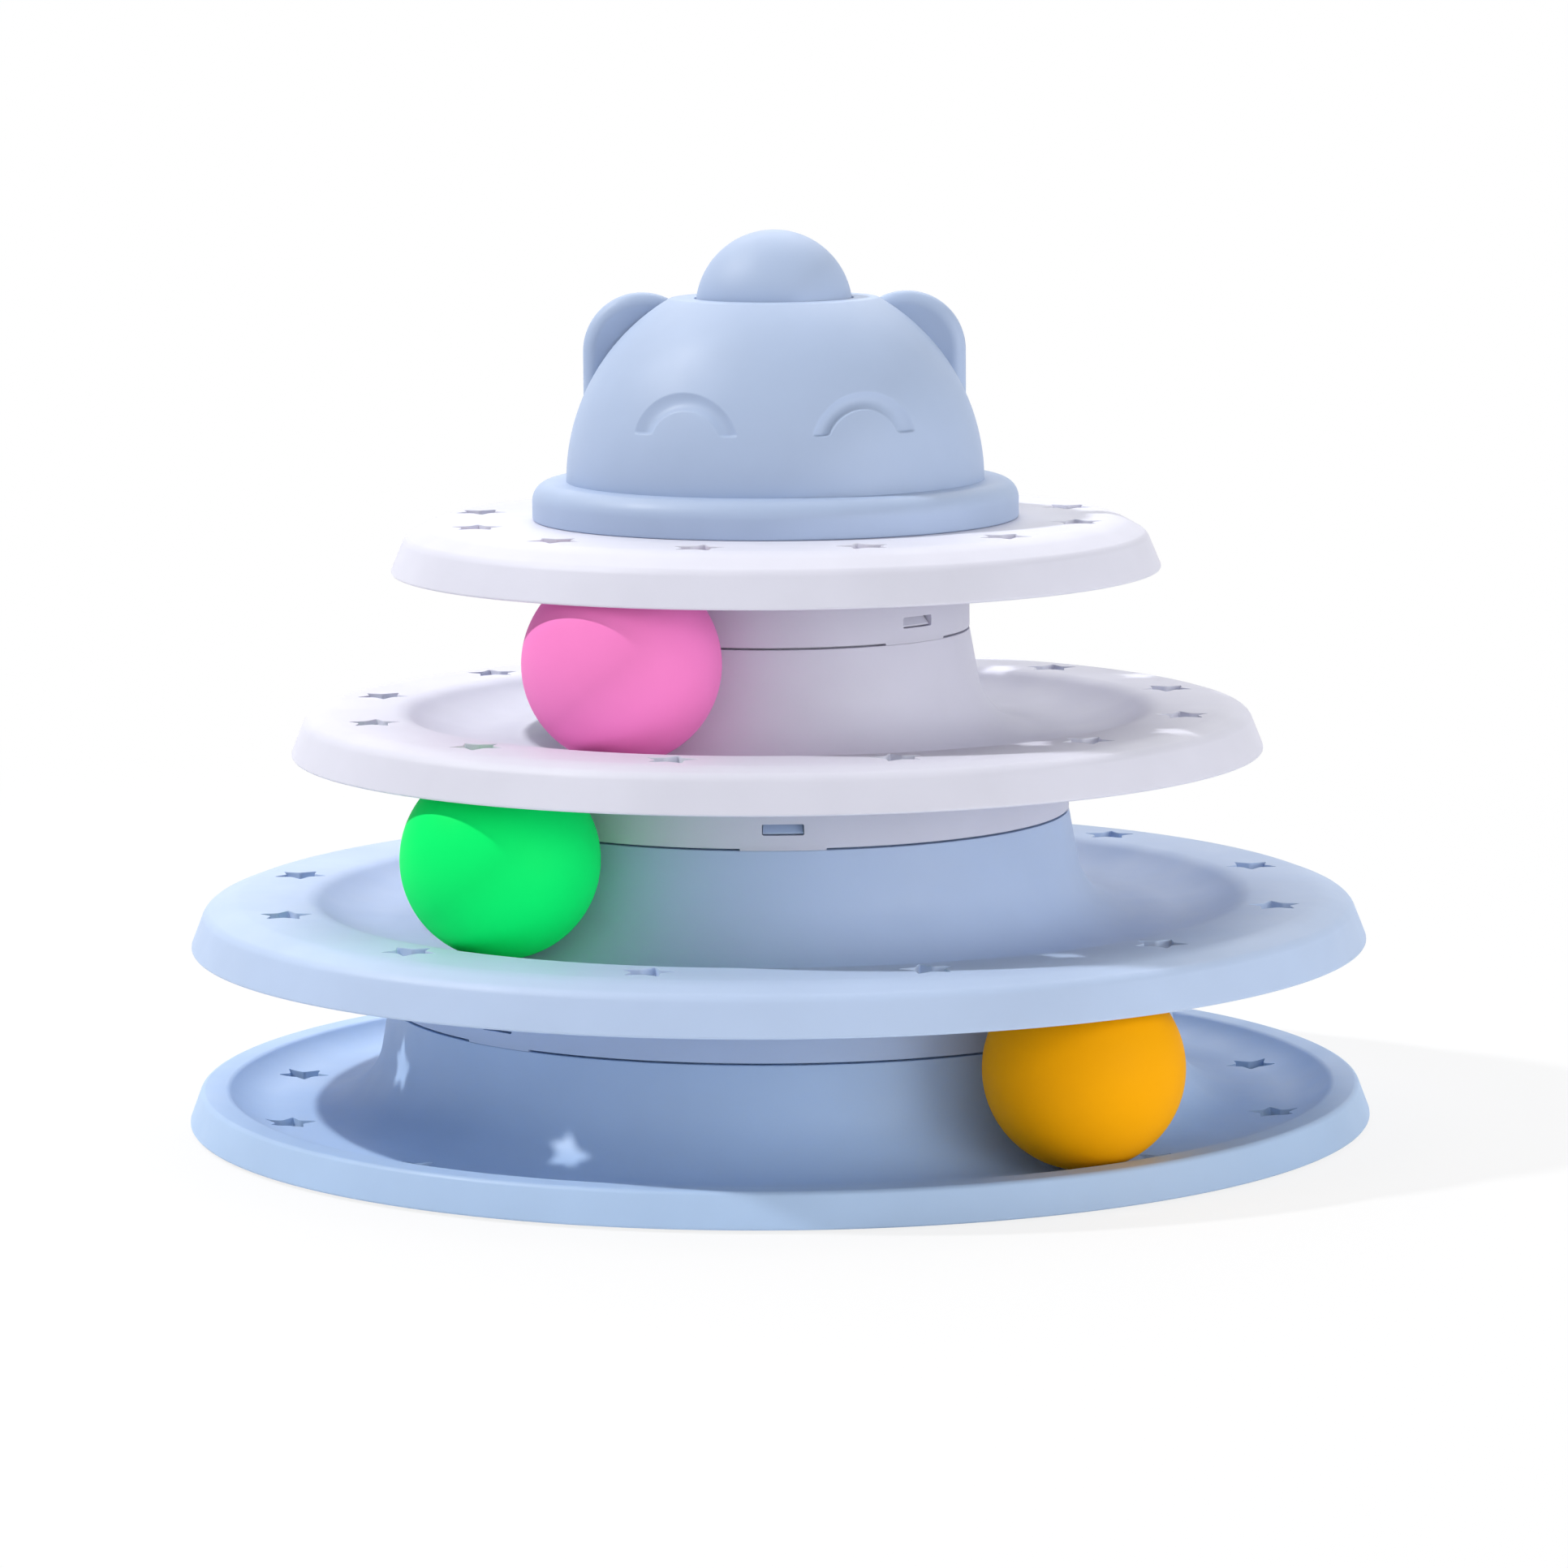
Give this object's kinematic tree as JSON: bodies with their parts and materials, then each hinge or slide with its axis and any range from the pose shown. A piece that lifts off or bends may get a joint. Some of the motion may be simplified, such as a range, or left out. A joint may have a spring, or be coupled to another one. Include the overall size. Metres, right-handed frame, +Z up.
{
  "type": "cat ball track tower",
  "caption": "Stacked blue and white ball track tower for cats, with a round animal head on top and one loose ball in each track",
  "frame": {"origin": "on the floor under the foot pads, on the tower's vertical axis", "axes": "+Z up, the face on the head looks along -Y, +X is to the viewer's right"},
  "size_m": [0.25, 0.25, 0.1872],
  "materials": {
    "deep_blue": "matte moulded plastic, mid blue",
    "pale_blue": "matte moulded plastic, light blue",
    "head_blue": "matte moulded plastic, dusty blue",
    "white": "matte moulded plastic, white",
    "ball_orange": "satin blown plastic, orange",
    "ball_green": "satin blown plastic, green",
    "ball_pink": "satin blown plastic, pink",
    "pad_rubber": "soft grey rubber",
    "steel": "zinc plated"
  },
  "bodies": {
    "base": {"base_tray": "deep_blue", "base_snap_tongues": "deep_blue", "foot_pad_1": "pad_rubber", "foot_pad_2": "pad_rubber", "foot_pad_3": "pad_rubber", "foot_pad_4": "pad_rubber"},
    "middle_storey": {"middle_tray": "pale_blue", "middle_snap_tongues": "pale_blue"},
    "upper_storey": {"upper_tray": "white", "upper_snap_tongues": "white"},
    "top_storey": {"top_plate": "white"},
    "head": {"head_shell": "head_blue", "head_snap_hooks": "head_blue"},
    "knob": {"knob_cap": "head_blue", "knob_washer": "steel", "knob_screw": "steel"},
    "orange_ball": {"orange_ball_front_half": "ball_orange", "orange_ball_rear_half": "ball_orange"},
    "green_ball": {"green_ball_front_half": "ball_green", "green_ball_rear_half": "ball_green"},
    "pink_ball": {"pink_ball_front_half": "ball_pink", "pink_ball_rear_half": "ball_pink"}
  },
  "joints": [
    {"name": "middle_lift", "type": "slide", "parent": "base", "child": "middle_storey", "axis": [0, 0, 1], "range_m": [0, 0.036]},
    {"name": "upper_lift", "type": "slide", "parent": "middle_storey", "child": "upper_storey", "axis": [0, 0, 1], "range_m": [0, 0.036]},
    {"name": "top_lift", "type": "slide", "parent": "upper_storey", "child": "top_storey", "axis": [0, 0, 1], "range_m": [0, 0.036]},
    {"name": "head_lift", "type": "slide", "parent": "top_storey", "child": "head", "axis": [0, 0, 1], "range_m": [0, 0.024]},
    {"name": "knob_spin", "type": "hinge", "parent": "head", "child": "knob", "pos_m": [0, 0, 0.169], "axis": [0, 0, 1], "continuous": true},
    {"name": "orange_ball_orbit", "type": "hinge", "parent": "base", "child": "orange_ball", "pos_m": [0, 0, 0.025], "axis": [0, 0, 1], "continuous": true},
    {"name": "green_ball_orbit", "type": "hinge", "parent": "middle_storey", "child": "green_ball", "pos_m": [0, 0, 0.064], "axis": [0, 0, 1], "continuous": true},
    {"name": "pink_ball_orbit", "type": "hinge", "parent": "upper_storey", "child": "pink_ball", "pos_m": [0, 0, 0.103], "axis": [0, 0, 1], "continuous": true}
  ]
}
